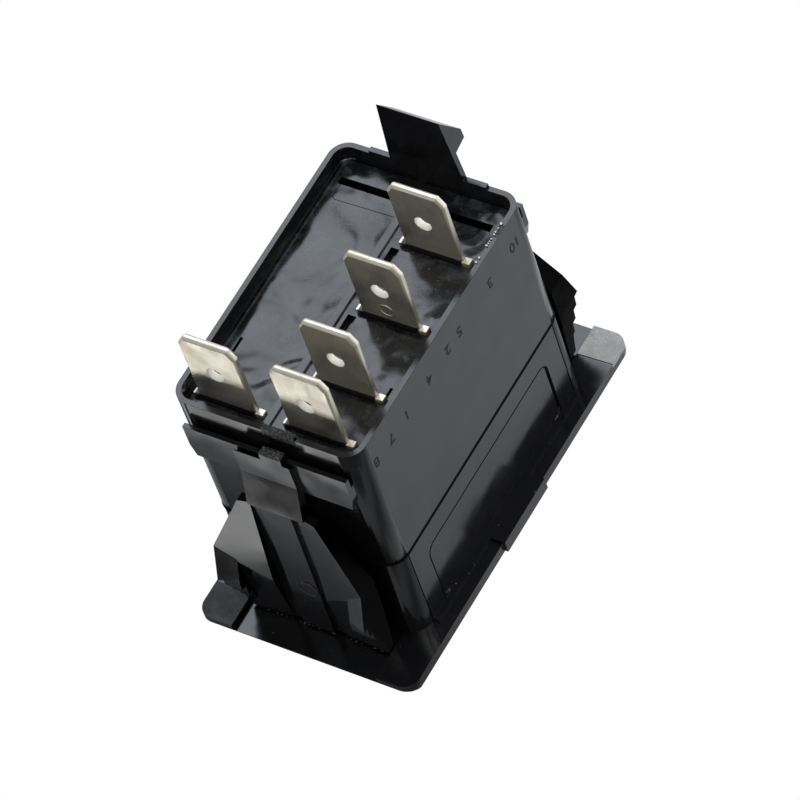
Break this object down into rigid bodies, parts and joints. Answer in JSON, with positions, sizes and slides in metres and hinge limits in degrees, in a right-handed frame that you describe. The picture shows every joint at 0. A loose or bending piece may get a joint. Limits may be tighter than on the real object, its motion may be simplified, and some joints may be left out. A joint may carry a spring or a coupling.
{
  "type": "panel rocker switch",
  "caption": "Snap-in panel rocker switch seen from its terminals: flanged box with serrated snap wings, quick-connect blades and a barbed connector ear.",
  "frame": {"origin": "middle of the panel cut-out, on the rear face of the flange, where the panel's front face lies", "axes": "+Z to the rear, towards the blades; +Y along the switch to the end with the whole barbed ear; +X across it, to the side of the terminal numbers"},
  "size_m": [0.0252, 0.044, 0.0438],
  "materials": {
    "housing_nylon": "moulded black nylon, satin gloss",
    "rocker_nylon": "moulded black nylon, fine texture",
    "inner_plastic": "moulded, as pressed",
    "seal_rubber": "moulded soft seal",
    "plated_blade": "tin-plated brass strip, bright",
    "contact_silver": "silver alloy rivet",
    "contact_copper": "rolled copper strip",
    "spring_steel": "drawn wire",
    "acetal": "natural white, turned",
    "lens": "clear frosted lens",
    "lamp_resin": "clear cast resin",
    "resistor_coat": "dipped coat"
  },
  "bodies": {
    "shell": {"housing": "housing_nylon", "bezel": "housing_nylon", "seam_gasket": "seal_rubber", "chamber_plate": "inner_plastic", "terminal_1": "plated_blade", "terminal_2": "plated_blade", "terminal_3": "plated_blade", "terminal_7": "plated_blade", "terminal_8": "plated_blade", "fixed_rivet_1": "contact_silver", "fixed_rivet_3": "contact_silver", "led": "lamp_resin", "resistor": "resistor_coat"},
    "rocker_group": {"rocker": "rocker_nylon", "rocker_lens": "lens", "carrier": "inner_plastic", "plunger_spring": "spring_steel"},
    "plunger_group": {"plunger": "acetal"},
    "contact_group": {"contact_blade": "contact_copper", "blade_rivet_1": "contact_silver", "blade_rivet_3": "contact_silver"}
  },
  "joints": [
    {"name": "rocker_tilt", "type": "hinge", "parent": "shell", "child": "rocker_group", "pos_m": [0, 0, 0.0032], "axis": [1, 0, 0], "range_deg": [-11, 11]},
    {"name": "contact_tilt", "type": "hinge", "parent": "shell", "child": "contact_group", "pos_m": [0.00464, 0.00015, 0.0192], "axis": [1, 0, 0], "range_deg": [-7, 7]},
    {"name": "plunger_slide", "type": "slide", "parent": "rocker_group", "child": "plunger_group", "axis": [0, 0, -1], "range_m": [0, 0.001], "stiffness_N_per_m": 200, "deforming": ["plunger_spring"]}
  ],
  "couplings": [
    {"joint": "contact_tilt", "follows": "rocker_tilt", "ratio": -0.62}
  ]
}
